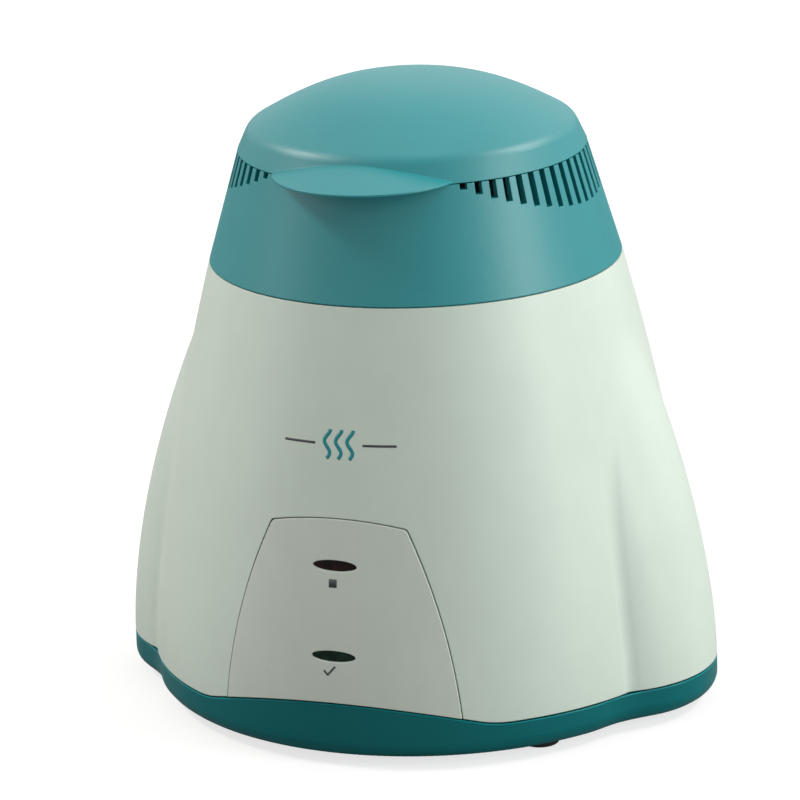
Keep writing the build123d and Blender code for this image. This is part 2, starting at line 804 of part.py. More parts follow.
def make_fuse():
    """Thermal fuse, a small sealed barrel on the can's side."""
    z = shield_z + 20
    place = Pos(shield_outer + fuse_radius, 0, z)
    fuse = place * Cylinder(fuse_radius, fuse_long)
    return fuse + place * Cylinder(0.5, fuse_long + 12)


def recess_mid():
    """Height of the inlet's and the switch's centre."""
    return recess_low + recess_high / 2


def framed(x, size, y0, y1):
    """A block centred on a rear fitting, from y0 to y1."""
    z = recess_mid()
    return block(x - size[0] / 2, x + size[0] / 2, y0, y1, z - size[1] / 2, z + size[1] / 2)


def make_inlet():
    """Appliance inlet with its socket and flange, snapped into the recess."""
    face_y = recess_floor_y + inlet_bezel
    body_size = (inlet_cut[0] - 2 * inlet_fit, inlet_cut[1] - 2 * inlet_fit)
    body = framed(inlet_x, body_size, face_y - inlet_hole_deep - inlet_back, face_y)
    bezel = framed(inlet_x, inlet_face, recess_floor_y, face_y)
    bezel = fillet(bezel.edges().filter_by(Axis.Y), 2.0)
    hole = framed(inlet_x, inlet_hole, face_y - inlet_hole_deep, face_y + 1)
    corners = hole.edges().filter_by(Axis.Y).group_by(Axis.Z)[-1]
    hole = chamfer(corners, 3.6)
    return body + bezel - hole


def make_blades():
    """The inlet's three contact blades, run through its back wall."""
    floor_y = recess_floor_y + inlet_bezel - inlet_hole_deep
    z = recess_mid()
    blades = []
    for x, dz in ((-blade_pitch / 2, -blade_offset), (blade_pitch / 2, -blade_offset), (0, blade_offset)):
        blades.append(block(inlet_x + x - blade_wide / 2, inlet_x + x + blade_wide / 2,
                            floor_y, floor_y + blade_long,
                            z + dz - blade_high / 2, z + dz + blade_high / 2))
    return Compound(children=blades)


def make_switch_frame():
    """Rocker switch housing, open at the front for the rocker, with its flange and terminals."""
    face_y = recess_floor_y + inlet_bezel
    body_size = (switch_cut[0] - 2 * inlet_fit, switch_cut[1] - 2 * inlet_fit)
    body = framed(switch_x, body_size, face_y - switch_deep, face_y)
    bezel = framed(switch_x, switch_face, recess_floor_y, face_y)
    bezel = fillet(bezel.edges().filter_by(Axis.Y), 1.2)
    hole_size = (body_size[0] - 2 * switch_wall, body_size[1] - 2 * switch_wall)
    hole = framed(switch_x, hole_size, face_y - switch_deep + 1.5, face_y + 1)
    axle = Pos(switch_x, rocker_axis_y(), recess_mid()) * Rot(0, 90, 0)
    frame = body + bezel - hole - axle * Cylinder(rocker_axle + pin_clear, body_size[0] - 0.8)
    for z in (-5.5, 0, 5.5):
        mid = recess_mid() + z
        frame += block(switch_x - 2.4, switch_x + 2.4, face_y - switch_deep - 6, face_y - switch_deep,
                       mid - 0.4, mid + 0.4)
    return frame


def rocker_axis_y():
    """The rocker's axle, a little behind the frame's face."""
    return recess_floor_y + inlet_bezel - rocker_deep


def make_rocker():
    """Rocker with two flat wings, tilted to one end of its swing, on a stub axle."""
    half_high = switch_cut[1] / 2 - inlet_fit - switch_wall - rocker_clear
    half_wide = switch_cut[0] / 2 - inlet_fit - switch_wall - rocker_clear
    proud = 6.0
    tilt = radians(rocker_tilt)
    dip = half_high * sin(tilt) / cos(tilt)
    face = make_face(Polyline(
        (0, -half_high + 0.8, proud - 0.9),
        (0, 0, proud - 0.9 - dip + 0.2),
        (0, half_high - 0.8, proud - 0.9),
        (0, half_high - 1.6, -1.0),
        (0, 0, -3.0),
        (0, -half_high + 1.6, -1.0),
        close=True))
    wing = extrude(face, half_wide, dir=(1, 0, 0), both=True)
    axle = Rot(0, 90, 0) * Cylinder(rocker_axle, 2 * half_wide + 2 * rocker_clear + 1.2)
    rocker = Rot(rocker_tilt, 0, 0) * (wing + axle)
    return Pos(switch_x, rocker_axis_y(), recess_mid()) * Rot(-90, 0, 0) * rocker


def make_board():
    """Control board on the tray's pillars, with relay, transformer and capacitors."""
    plate = block(-board_half_x, board_half_x, board_y - board_half_y - 5, board_y + board_half_y + 5,
                  board_z, board_z + board_thick)
    for x, y in board_pillars():
        plate -= disc(screw_radius + screw_free, 0, far, x, y)
    top = board_z + board_thick
    plate += block(-24, -8, board_y - 14, board_y + 4, top, top + 15)
    plate += block(0, 19, board_y - 12, board_y - 2, top, top + 12)
    for x in (4, 14):
        plate += disc(4, top, top + 13, x, board_y + 6)
    return plate


def make_terminals():
    """Terminal block at the board's rear edge."""
    top = board_z + board_thick
    body = block(-22, 10, board_y + 13, board_y + 23, top, top + 10)
    for i in range(5):
        x = -19 + 6.4 * i
        body -= disc(1.9, top + 4, top + 11, x, board_y + 18)
        body -= Pos(x, board_y + 23, top + 3) * Rot(90, 0, 0) * Cylinder(1.7, 10)
    return body


def build_parts():
    """Every node of the part by name."""
    parts = {
        "base": make_base(),
        "body_shell": make_shell(),
        "front_panel": make_panel(),
        "stop_lens": make_lens(stop_z),
        "ok_lens": make_lens(ok_z),
        "stop_lamp": make_lamp(stop_z),
        "ok_lamp": make_lamp(ok_z),
        "lamp_board": make_lamp_board(),
        "collar": make_collar(),
        "lid": make_lid(),
        "lid_liner": make_liner(),
        "hinge_pin": make_pin(),
        "well_deck": make_deck(),
        "bead_well": make_well(),
        "glass_beads": make_beads(),
        "heater_band": make_heater(),
        "band_clamp_screw": make_clamp_screw(),
        "insulation_jacket": make_jacket(),
        "heat_shield": make_shield(),
        "thermostat": make_thermostat(),
        "thermal_fuse": make_fuse(),
        "power_inlet": make_inlet(),
        "inlet_blades": make_blades(),
        "switch_frame": make_switch_frame(),
        "switch_rocker": make_rocker(),
        "control_board": make_board(),
        "terminal_block": make_terminals(),
    }
    for name, (x, y) in foot_places().items():
        parts["foot_" + name] = make_foot(x, y)
    liner_seat = lid_z - liner_low
    parts["liner_screws"] = Compound(children=[
        make_screw(p.X, p.Y, liner_seat, 9, -1) for p in around(liner_screws_n, liner_screw_place)])
    parts["deck_screws"] = Compound(children=[
        make_screw(p.X, p.Y, deck_z + deck_thick, 7) for p in around(deck_screws_n, deck_screw_place, 45)])
    parts["base_screws"] = Compound(children=[
        make_screw(p.X, p.Y, foot_show + screw_head_high, 20, -1) for p in boss_places()])
    parts["board_screws"] = Compound(children=[
        make_screw(x, y, board_z + board_thick, 6) for x, y in board_pillars()])
    return parts


os.makedirs("parts", exist_ok=True)
for name, shape in build_parts().items():
    export_step(shape, "parts/" + name + ".step")
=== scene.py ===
import json
from math import cos, radians, sin

import bmesh
import bpy
import numpy as np
from mathutils import Matrix, Vector


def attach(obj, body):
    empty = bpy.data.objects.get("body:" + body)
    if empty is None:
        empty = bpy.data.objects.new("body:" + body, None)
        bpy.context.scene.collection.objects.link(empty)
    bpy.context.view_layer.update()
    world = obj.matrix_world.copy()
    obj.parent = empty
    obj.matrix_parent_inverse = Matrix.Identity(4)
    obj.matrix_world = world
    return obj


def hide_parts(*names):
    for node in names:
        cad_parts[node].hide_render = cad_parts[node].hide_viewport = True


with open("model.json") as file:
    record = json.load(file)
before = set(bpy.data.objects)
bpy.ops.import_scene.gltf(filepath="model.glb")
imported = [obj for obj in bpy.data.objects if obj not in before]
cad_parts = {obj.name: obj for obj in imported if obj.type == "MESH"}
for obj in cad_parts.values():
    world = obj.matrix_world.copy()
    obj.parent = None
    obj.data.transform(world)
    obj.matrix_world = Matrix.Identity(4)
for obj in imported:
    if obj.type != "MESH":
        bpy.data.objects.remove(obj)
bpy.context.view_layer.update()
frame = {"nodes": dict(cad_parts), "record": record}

# Looks of the glass bead sterilizer. Metres; the front faces -Y and the lid's hinge is at +Y.
MM = 0.001


# Shader sockets and finishes

class Wire:
    """A shader socket. Arithmetic on it adds Math nodes to its finish."""

    def __init__(self, finish, socket):
        self.finish = finish
        self.socket = socket

    def math(self, operation, first, second=0.0):
        return self.finish.add("ShaderNodeMath", {"operation": operation}, {0: first, 1: second})

    def __add__(self, other):
        return self.math("ADD", self, other)

    def __sub__(self, other):
        return self.math("SUBTRACT", self, other)

    def __mul__(self, other):
        return self.math("MULTIPLY", self, other)

    def __radd__(self, other):
        return self.math("ADD", other, self)

    def __rsub__(self, other):
        return self.math("SUBTRACT", other, self)

    def __rmul__(self, other):
        return self.math("MULTIPLY", other, self)


class Finish:
    """A material with one method that adds any node."""

    def __init__(self, name):
        self.material = bpy.data.materials.new(name)
        self.material.use_nodes = True
        self.tree = self.material.node_tree
        self.tree.nodes.clear()
        self.place = self.add("ShaderNodeTexCoord", out="Object")

    def add(self, kind, settings=None, values=None, out=0):
        """A node of that type, its settings first, then its sockets' values or links."""
        node = self.tree.nodes.new(kind)
        for key, value in (settings or {}).items():
            if key == "stops":
                ramp = node.color_ramp
                while len(ramp.elements) < len(value):
                    ramp.elements.new(0.5)
                for element, (at, shade) in zip(ramp.elements, value):
                    element.position = at
                    element.color = (*shade, 1)
            else:
                setattr(node, key, value)
        for key, value in (values or {}).items():
            if isinstance(value, Wire):
                self.tree.links.new(value.socket, node.inputs[key])
            else:
                node.inputs[key].default_value = value
        return Wire(self, node.outputs[out]) if node.outputs else node

    def noise(self, size, detail=2.0, rough=0.5, where=None):
        """Noise whose lumps are about size millimetres wide."""
        return self.add("ShaderNodeTexNoise", None, {
            "Vector": where or self.place, "Scale": 1 / (size * MM),
            "Detail": detail, "Roughness": rough})

    def stretch(self, x, y, z):
        """Object coordinates scaled along each axis."""
        return self.add("ShaderNodeMapping", None, {"Vector": self.place, "Scale": (x, y, z)})

    def step(self, value, low, high, to_low=0.0, to_high=1.0):
        """A smooth step of a value from one range to another."""
        return self.add("ShaderNodeMapRange", {"interpolation_type": "SMOOTHSTEP"}, {
            0: value, 1: low, 2: high, 3: to_low, 4: to_high})

    def blend(self, share, first, second):
        """A colour between two others."""
        return self.add("ShaderNodeMix", {"data_type": "RGBA"}, {
            0: share, 6: rgba(first), 7: rgba(second)}, 2)

    def parts(self):
        """Object coordinates as three numbers."""
        split = self.tree.nodes.new("ShaderNodeSeparateXYZ")
        self.tree.links.new(self.place.socket, split.inputs[0])
        return [Wire(self, socket) for socket in split.outputs]

    def bump(self, height, depth, under=None):
        """A normal from a height of 0 to 1 that stands for depth millimetres."""
        values = {"Strength": 1.0, "Distance": depth * MM, "Height": height}
        if under:
            values["Normal"] = under
        return self.add("ShaderNodeBump", None, values)

    def rounded(self, radius):
        """A normal that rounds the sharp edges by a radius in millimetres."""
        return self.add("ShaderNodeBevel", {"samples": 6}, {"Radius": radius * MM})

    def edges(self, radius, low=0.01, high=0.12):
        """One along the sharp edges, nought elsewhere: where rounding turns the normal away."""
        flat = self.add("ShaderNodeNewGeometry", out="Normal")
        along = self.add("ShaderNodeVectorMath", {"operation": "DOT_PRODUCT"}, {
            0: self.rounded(radius), 1: flat}, "Value")
        return self.step(1 - along, low, high)

    def surface(self, color, roughness, normal=None, **more):
        """The shader itself; constants go on its own sockets."""
        values = {"Base Color": rgba(color), "Roughness": roughness}
        if normal:
            values["Normal"] = normal
        values.update({key.replace("_", " "): value for key, value in more.items()})
        shader = self.add("ShaderNodeBsdfPrincipled", None, values)
        self.add("ShaderNodeOutputMaterial", None, {"Surface": shader})
        return self.material


def rgba(color):
    """A colour socket takes four numbers; a link passes as it is."""
    return color if isinstance(color, Wire) else (*color, 1)


def srgb(red, green, blue):
    """A colour as it reads on a screen, as linear light."""
    values = np.array((red, green, blue)) / 255
    linear = np.where(values <= 0.04045, values / 12.92, ((values + 0.055) / 1.055) ** 2.4)
    return tuple(linear.tolist())


def tint(color, factor):
    """A colour made lighter or darker by a factor."""
    return tuple(min(1.0, c * factor) for c in color)


def moulded(name, color, roughness=0.42, grain=0.03, edge=0.3, gloss=0.35, edge_highlight=1.25):
    """Moulded plastic: spark eroded grain, flow clouds, paler specks, and a painted highlight that
    makes the sharp edges paler.
    """
    f = Finish(name)
    cloud = f.noise(38, 3, 0.55)
    flow = f.noise(9, 4, 0.6, f.stretch(1, 1, 0.6))
    fine = f.noise(0.42, 3, 0.6)
    speck = f.step(f.noise(0.8, 1), 0.74, 0.82)
    base = f.blend(f.step(cloud * 0.6 + flow * 0.4, 0.3, 0.7), tint(color, 0.97), tint(color, 1.02))
    base = f.blend(speck * 0.16, base, tint(color, 1.5))
    # Painted highlight: the sharp edges are made paler by the edge factor, where the rounding turns
    # the normal away.
    base = f.blend(f.edges(edge), base, tint(color, edge_highlight))
    rough = roughness - 0.04 + cloud * 0.05 + fine * 0.05
    normal = f.bump(fine, grain, f.bump(f.noise(14, 2), 0.05, f.rounded(edge)))
    return f.surface(base, rough, normal, IOR=1.47, Specular_IOR_Level=gloss)


def rubber(name, color):
    """Black rubber: matt, dusty, with a fine pebble."""
    f = Finish(name)
    dust = f.step(f.noise(3.5, 4, 0.65), 0.42, 0.75)
    base = f.blend(dust * 0.5, color, tint(color, 3.0))
    return f.surface(base, 0.78 + dust * 0.12, f.bump(f.noise(0.6, 2), 0.05))


def turned_steel(name, color, roughness=0.28):
    """Pressed round steel: fine circular brushing about the axis, with a few stains."""
    f = Finish(name)
    x, y, z = f.parts()
    flat = f.stretch(1, 1, 0)
    radius = f.add("ShaderNodeVectorMath", {"operation": "LENGTH"}, {0: flat}, "Value")
    angle = y.math("ARCTAN2", y, x)
    across, along = 5200, 1.6             # lines to the metre, and to the radian
    ring = f.add("ShaderNodeCombineXYZ", None, {0: radius * across, 1: angle * along, 2: z * across})
    brush = f.add("ShaderNodeTexNoise", None, {
        "Vector": ring, "Scale": 1.0, "Detail": 4.0, "Roughness": 0.6})
    stain = f.step(f.noise(11, 4, 0.6), 0.5, 0.8)
    base = f.blend(brush, tint(color, 0.86), tint(color, 1.06))
    base = f.blend(stain * 0.35, base, tint(color, 0.72))
    rough = roughness - 0.06 + brush * 0.14 + stain * 0.1
    return f.surface(base, rough, f.bump(brush, 0.006), Metallic=1.0)


def plain_metal(name, color, roughness, size=1.2):
    """Plated or milled metal: small crystals and dull patches."""
    f = Finish(name)
    crystal = f.add("ShaderNodeTexVoronoi", None, {
        "Vector": f.place, "Scale": 1 / (size * MM)}, "Distance")
    dull = f.noise(6, 3, 0.6)
    base = f.blend(f.step(dull, 0.35, 0.7), tint(color, 0.85), color)
    return f.surface(base, roughness - 0.06 + dull * 0.16, f.bump(crystal, 0.01), Metallic=1.0)


def tinted_window(name, color, bright):
    """Tinted clear plastic: dark and glossy, a little brighter where it is thin."""
    f = Finish(name)
    clear = f.noise(2.2, 2)
    base = f.blend(f.step(clear, 0.35, 0.7), color, bright)
    return f.surface(base, 0.10 + clear * 0.06, f.bump(f.noise(1.4, 1), 0.02, f.rounded(0.25)),
                     IOR=1.49, Specular_IOR_Level=0.22)


def lamp_body(name, color):
    """Milky lamp with a paler core."""
    f = Finish(name)
    milk = f.noise(1.2, 2)
    return f.surface(f.blend(milk, color, tint(color, 1.6)), 0.25 + milk * 0.1)


def fibre_board(name, color, copper):
    """Circuit board: solder resist over woven glass, with raised tracks."""
    f = Finish(name)
    tracks = f.add("ShaderNodeTexBrick", {"offset": 0.5}, {
        "Vector": f.place, "Scale": 260.0, "Mortar Size": 0.06,
        "Color1": (0, 0, 0, 1), "Color2": (0, 0, 0, 1), "Mortar": (1, 1, 1, 1)}, "Fac")
    weave = f.noise(0.7, 2)
    base = f.blend(tracks * 0.6, f.blend(weave, color, tint(color, 1.3)), copper)
    return f.surface(base, 0.32 + weave * 0.12, f.bump(tracks, 0.03))


def fibre_wool(name, color):
    """Pressed ceramic fibre: matted strands, matt and a little grey."""
    f = Finish(name)
    strand = f.noise(1.1, 5, 0.7, f.stretch(1, 1, 3.5))
    base = f.blend(strand, tint(color, 0.72), color)
    return f.surface(base, 0.9 + strand * 0.08, f.bump(strand, 0.35))


def bead_glass(name, color):
    """Soda glass beads: clear, with a faint haze from use."""
    f = Finish(name)
    haze = f.noise(2.6, 3)
    base = f.blend(haze, tint(color, 0.9), color)
    return f.surface(base, 0.06 + haze * 0.16, IOR=1.5, Transmission_Weight=0.55)


def ink(name, color):
    """Pad printed ink: thin, even, slightly rougher than the plastic."""
    f = Finish(name)
    screen = f.noise(0.25, 2)
    return f.surface(f.blend(screen, color, tint(color, 1.25)), 0.5 + screen * 0.1)


teal = srgb(8, 131, 137)
tray_blue = srgb(0, 100, 104)
ivory = srgb(206, 219, 208)
panel_ivory = srgb(203, 212, 202)

finishes = {
    # The edge factor of each moulded finish sets how pale its painted edge highlight is.
    "housing_teal": moulded("housing_teal", teal, 0.43, 0.05, edge=0.35, gloss=0.8, edge_highlight=1.5),
    "tray_teal": moulded("tray_teal", tray_blue, 0.34, edge=0.7, gloss=0.2, edge_highlight=2.6),
    "housing_ivory": moulded("housing_ivory", ivory, 0.40, 0.018, edge=0.4, edge_highlight=1.12),
    "panel_ivory": moulded("panel_ivory", panel_ivory, 0.42, 0.018, edge=0.4, edge_highlight=1.2),
    "stop_tint": tinted_window("stop_tint", (0.005, 0.002, 0.002), (0.02, 0.005, 0.004)),
    "ok_tint": tinted_window("ok_tint", (0.001, 0.012, 0.007), (0.002, 0.034, 0.02)),
    "lamp_red": lamp_body("lamp_red", (0.55, 0.05, 0.04)),
    "lamp_green": lamp_body("lamp_green", (0.06, 0.42, 0.12)),
    "circuit_board": fibre_board("circuit_board", (0.01, 0.10, 0.04), (0.05, 0.22, 0.08)),
    "foot_rubber": rubber("foot_rubber", (0.012, 0.012, 0.013)),
    "black_plastic": moulded("black_plastic", (0.016, 0.016, 0.018), 0.36),
    "steel_bright": turned_steel("steel_bright", (0.62, 0.62, 0.60)),
    "steel_plated": plain_metal("steel_plated", (0.58, 0.57, 0.53), 0.34),
    "can_aluminium": plain_metal("can_aluminium", (0.72, 0.72, 0.73), 0.42, 2.4),
    "fibre": fibre_wool("fibre", (0.80, 0.78, 0.72)),
    "beads": bead_glass("beads", (0.86, 0.90, 0.92)),
    "terminal_body": moulded("terminal_body", (0.02, 0.14, 0.06), 0.35),
    "blade_brass": plain_metal("blade_brass", (0.76, 0.66, 0.42), 0.3),
}

for entry in frame["record"]["subparts"]:
    node = frame["nodes"][entry["node"]]
    node.data.materials.clear()
    node.data.materials.append(finishes[entry["material_slot"]])


# Shapes worked out from the same sizes as the part's, in millimetres

split_z, seam_z = 13.2, 137.6              # parting above the tray, and seam under the collar
seam_radius, seam_slope, flare, flare_power = 64.0, 0.295, 22.0, 1.5
lobe_turn, lobe_radius, lobe_reach, lobe_lean, lobe_power = 84.8, 36.3, 59.2, 36.0, 1.72
crease_soft = 1.6
panel_proud = 0.3
arch_rise, arch_half, arch_round = 7.1, 46.3, 30.0
stop_z, ok_z = 62.0, 34.6                  # the two windows


def rise_share(z):
    """Nought at the parting, one at the seam."""
    return np.clip((z - split_z) / (seam_z - split_z), 0, None)


def bell_radius(z):
    """Round form: a cone above the seam, and below it seam_radius + flare (1 - share^flare_power)."""
    above = seam_radius - seam_slope * (z - seam_z)
    return np.where(z >= seam_z, above, seam_radius + flare * (1 - rise_share(z) ** flare_power))


def form_radius(angle, z, inset=0.0):
    """Distance from the axis: round form and two side lobes, melted together at the creases."""
    centre = lobe_reach - lobe_lean * rise_share(z) ** lobe_power
    radius = bell_radius(z) - inset + 0.0 * angle
    for side in (-1, 1):
        turn = np.radians(angle - side * lobe_turn)
        reach = (lobe_radius - inset) ** 2 - (centre * np.sin(turn)) ** 2
        lobe = centre * np.cos(turn) + np.sqrt(np.maximum(reach, 0))
        mix = np.clip(0.5 + 0.5 * (lobe - radius) / crease_soft, 0, 1)
        melted = radius * (1 - mix) + lobe * mix + crease_soft * mix * (1 - mix) / 2
        radius = np.where((reach > 0) & (np.cos(turn) > 0), melted, radius)
    return radius


def at_angle(angle, radius, z):
    """Points at an angle from the front, turning towards +X."""
    turn = np.radians(angle)
    return np.stack(np.broadcast_arrays(radius * np.sin(turn), -radius * np.cos(turn), z), -1)


def on_form(angle, z, inset=0.0):
    """Points of the whole form's side, drawn in by an inset."""
    return at_angle(angle, form_radius(angle, z, inset), z)


def on_front(x, z, proud=0.0):
    """Points of the round form's front, from their place seen from straight ahead."""
    radius = bell_radius(z) + proud
    return np.stack(np.broadcast_arrays(x, -np.sqrt(radius ** 2 - x ** 2), z), -1)


def parting_height(x):
    """The parting at the front: an arc of arch_rise over arch_half, rounded into the level line."""
    bow = (arch_half ** 2 + arch_rise ** 2) / (2 * arch_rise)
    far_x = np.sqrt((bow + arch_round) ** 2 - (arch_round - arch_rise + bow) ** 2)
    x = np.abs(x)
    arc = np.sqrt(np.maximum(bow ** 2 - x ** 2, 0)) - bow + arch_rise
    rounding = arch_round - np.sqrt(np.maximum(arch_round ** 2 - (x - far_x) ** 2, 0))
    rise = np.where(x < far_x * bow / (bow + arch_round), arc, rounding)
    return split_z + np.where(x < far_x, rise, 0.0)


def parting_at(angle):
    """The parting's height at an angle from the front."""
    x = form_radius(angle, split_z + 2.0) * np.sin(np.radians(angle))
    return np.where(np.cos(np.radians(angle)) > 0, parting_height(x), split_z)


def cells(points, wrap=False):
    """Quads of a grid of points; wrap joins its last line to its first."""
    index = np.arange(points.shape[0] * points.shape[1]).reshape(points.shape[:2])
    after = np.roll(index, -1, 0)
    quads = np.stack([index[:, :-1], after[:, :-1], after[:, 1:], index[:, 1:]], -1)
    quads = quads if wrap else quads[:-1]
    return points.reshape(-1, 3), quads.reshape(-1, 4)


def lathe(profile, count=160, centre=(0, 0)):
    """A turned skin: each (radius, height) of the profile carried once round the centre."""
    turn = np.linspace(0, 2 * np.pi, count, endpoint=False)[:, None]
    radius, height = np.array(profile, float).T
    points = np.stack(np.broadcast_arrays(
        centre[0] + radius * np.sin(turn), centre[1] - radius * np.cos(turn), height), -1)
    return cells(points, wrap=True)


def post(radius, y0, y1, z, count=24):
    """A round rod along Y: its half section carried once round a line at that height."""
    turn = np.linspace(0, 2 * np.pi, count, endpoint=False)[:, None]
    reach, y = np.array([(0, y0), (radius, y0), (radius, y1), (0, y1)], float).T
    points = np.stack(np.broadcast_arrays(reach * np.cos(turn), y, z + reach * np.sin(turn)), -1)
    return cells(points, wrap=True)


def box_skin(low, high):
    """The six sides of a block between two corners."""
    x, y, z = np.meshgrid(*zip(low, high), indexing="ij")
    points = np.stack([x.ravel(), y.ravel(), z.ravel()], -1)
    sides = [(0, 1, 3, 2), (4, 6, 7, 5), (0, 4, 5, 1), (2, 3, 7, 6), (0, 2, 6, 4), (1, 5, 7, 3)]
    return points, np.array(sides)


def closed(*skins):
    """One mesh of several skins: doubles merged, faces turned outwards."""
    points = np.concatenate([s[0] for s in skins]) * MM
    shifts = np.cumsum([0] + [len(s[0]) for s in skins[:-1]])
    faces = [face for s, shift in zip(skins, shifts)
             for group in s[1:] for face in (group + shift).tolist()]
    mesh = bpy.data.meshes.new("skin")
    mesh.from_pydata(points.tolist(), [], faces)
    work = bmesh.new()
    work.from_mesh(mesh)
    bmesh.ops.remove_doubles(work, verts=work.verts, dist=2e-6)
    loose = [v for v in work.verts if not v.link_faces]
    bmesh.ops.delete(work, geom=loose, context="VERTS")
    bmesh.ops.recalc_face_normals(work, faces=work.faces)
    work.to_mesh(mesh)
    work.free()
    return mesh


def outward(mesh, inside=(0.0, 0.0, 0.05)):
    """Turns an open skin so that its faces look away from a point inside."""
    centres = np.zeros(len(mesh.polygons) * 3)
    normals = np.zeros(len(mesh.polygons) * 3)
    mesh.polygons.foreach_get("center", centres)
    mesh.polygons.foreach_get("normal", normals)
    away = (centres.reshape(-1, 3) - inside) * normals.reshape(-1, 3)
    if away.sum() < 0:
        mesh.flip_normals()
    return mesh


def piece(name, mesh, slot, body="housing", stands_for=(), wall=0.0, crease=0.0, look=None):
    """Puts a mesh into the scene as a part's piece, with its finish, wall and sharp edges."""
    mesh.name = name
    item = bpy.data.objects.new(name, mesh)
    bpy.context.scene.collection.objects.link(item)
    mesh.materials.clear()
    mesh.materials.append(finishes[look or slot])
    mesh.shade_smooth()
    if wall:
        thick = item.modifiers.new("wall", "SOLIDIFY")
        thick.thickness = wall * MM
        thick.offset = -1.0
    if crease:
        mesh.set_sharp_from_angle(angle=radians(crease))
    if stands_for:
        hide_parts(*stands_for)
    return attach(item, body)


# The bell and its front panel: the form's wall, with a crisper crease than the solids'

shell_thick = 2.5
panel = dict(half_top=21.6, shoulder=73.6, top=76.2, half_mid=33.0, mid=42.6, half_low=38.2,
             corner=0.8, seam=0.35)
pocket = dict(half=34.0, low=27.0, high=59.0, floor=72.0)
fittings = ((-14.0, 27.0, 20.0), (19.0, 13.0, 19.2))      # place, width, height of the pocket's holes
tower = dict(reach=75.5, radius=4.2, bore=1.35, deep=16.0, top=45.2, low_rib=84.9, high_rib=80.5,
             rib=1.2)


def bow(first, middle, last, count):
    """Points on the circle through three (x, z) points, from the first to the last."""
    (ax, az), (bx, bz), (cx, cz) = first, middle, last
    twice = 2 * (ax * (bz - cz) + bx * (cz - az) + cx * (az - bz))
    a, b, c = (x * x + z * z for x, z in (first, middle, last))
    ox = (a * (bz - cz) + b * (cz - az) + c * (az - bz)) / twice
    oz = (a * (cx - bx) + b * (ax - cx) + c * (bx - ax)) / twice
    turn = np.linspace(np.arctan2(az - oz, ax - ox), np.arctan2(cz - oz, cx - ox), count)
    radius = np.hypot(ax - ox, az - oz)
    return np.stack([ox + radius * np.cos(turn), oz + radius * np.sin(turn)], -1)


def panel_outline(seam=0.0):
    """The panel's outline: an arched top and bowed sides, met by parabolas at the corners."""
    low = (panel["half_low"] - seam, split_z)
    mid = (panel["half_mid"] - seam, panel["mid"])
    tip = (panel["half_top"] - seam, panel["shoulder"] - seam)
    side = bow(low, mid, tip, 70)
    side = side[side[:, 1] < tip[1] - panel["corner"]]
    crown = bow(tip, (0, panel["top"] - seam), (-tip[0], tip[1]), 45)
    crown = crown[np.abs(crown[:, 0]) < tip[0] - panel["corner"]]
    s = np.linspace(0, 1, 8)[1:-1, None]
    bend = side[-1:] * (1 - s) ** 2 + np.array([tip]) * 2 * s * (1 - s) + crown[:1] * s ** 2
    right = np.concatenate([[(low[0], 0.0)], side, bend])
    return np.concatenate([right, crown, right[::-1] * (-1, 1)])


def through(corners, y0, y1):
    """A straight prism along Y whose outline is given as (x, z) points."""
    x, z = np.array(corners, float).T
    n = len(x)
    points = np.stack([np.tile(x, 2), np.repeat([y0, y1], n), np.tile(z, 2)], -1)
    ring = np.arange(n)
    sides = np.stack([ring, np.roll(ring, -1), np.roll(ring, -1) + n, ring + n], -1)
    return points, sides, ring[None], ring[None] + n


def form_columns():
    """Angles round the form: a degree apart, and closer across the four creases."""
    creases, spread = (65, 105), 9
    coarse = np.arange(-180, 180, 1.0)
    fine = np.concatenate([np.arange(side * c - spread, side * c + spread, 0.4)
                           for side in (-1, 1) for c in creases])
    near = np.abs(np.abs(coarse)[:, None] - creases).min(1) < spread
    return np.sort(np.concatenate([coarse[~near], fine]))[:, None]


def bell_wall():
    """Outer and inner skin of the form between the parting and the seam, joined at both rims."""
    angle = form_columns()
    low = parting_at(angle)
    height = low + (seam_z - low) * np.linspace(0, 1, 50)[None, :]
    outer = on_form(angle, height)
    inner = on_form(angle, height, shell_thick)
    return cells(np.concatenate([outer, inner[:, ::-1], outer[:, :1]], 1), wrap=True)


def form_core(low, high, inset):
    """The form as a closed block between two heights, drawn in from its surface."""
    angle = np.arange(-180, 180, 2.0)[:, None]
    skin = on_form(angle, np.linspace(low, high, 24)[None, :], inset)
    ends = [np.array([(0.0, 0.0, z)] * len(skin))[:, None] for z in (low, high)]
    return cells(np.concatenate([ends[0], skin, ends[1]], 1), wrap=True)


def screw_tower(angle):
    """A closed tube for a screw, with the rib that ties it to the wall."""
    turn = np.radians(angle)
    reach, radius, bore, top, rib = (tower[k] for k in ("reach", "radius", "bore", "top", "rib"))
    end = split_z + tower["deep"]
    section = [(bore, end), (bore, split_z), (radius, split_z), (radius, top), (0, top), (0, end),
               (bore, end)]
    tube = lathe(section, 32, (reach * np.sin(turn), -reach * np.cos(turn)))
    edge = [(reach, split_z), (tower["low_rib"], split_z), (tower["high_rib"], top), (reach, top)]
    out, side, z = np.array([(r, side, z) for side in (-rib, rib) for r, z in edge]).T
    points = np.stack([out * np.sin(turn) + side * np.cos(turn),
                       -out * np.cos(turn) + side * np.sin(turn), z], -1)
    faces = [(0, 1, 2, 3), (4, 5, 6, 7), (0, 1, 5, 4), (1, 2, 6, 5), (2, 3, 7, 6), (3, 0, 4, 7)]
    return tube, (points, np.array(faces))


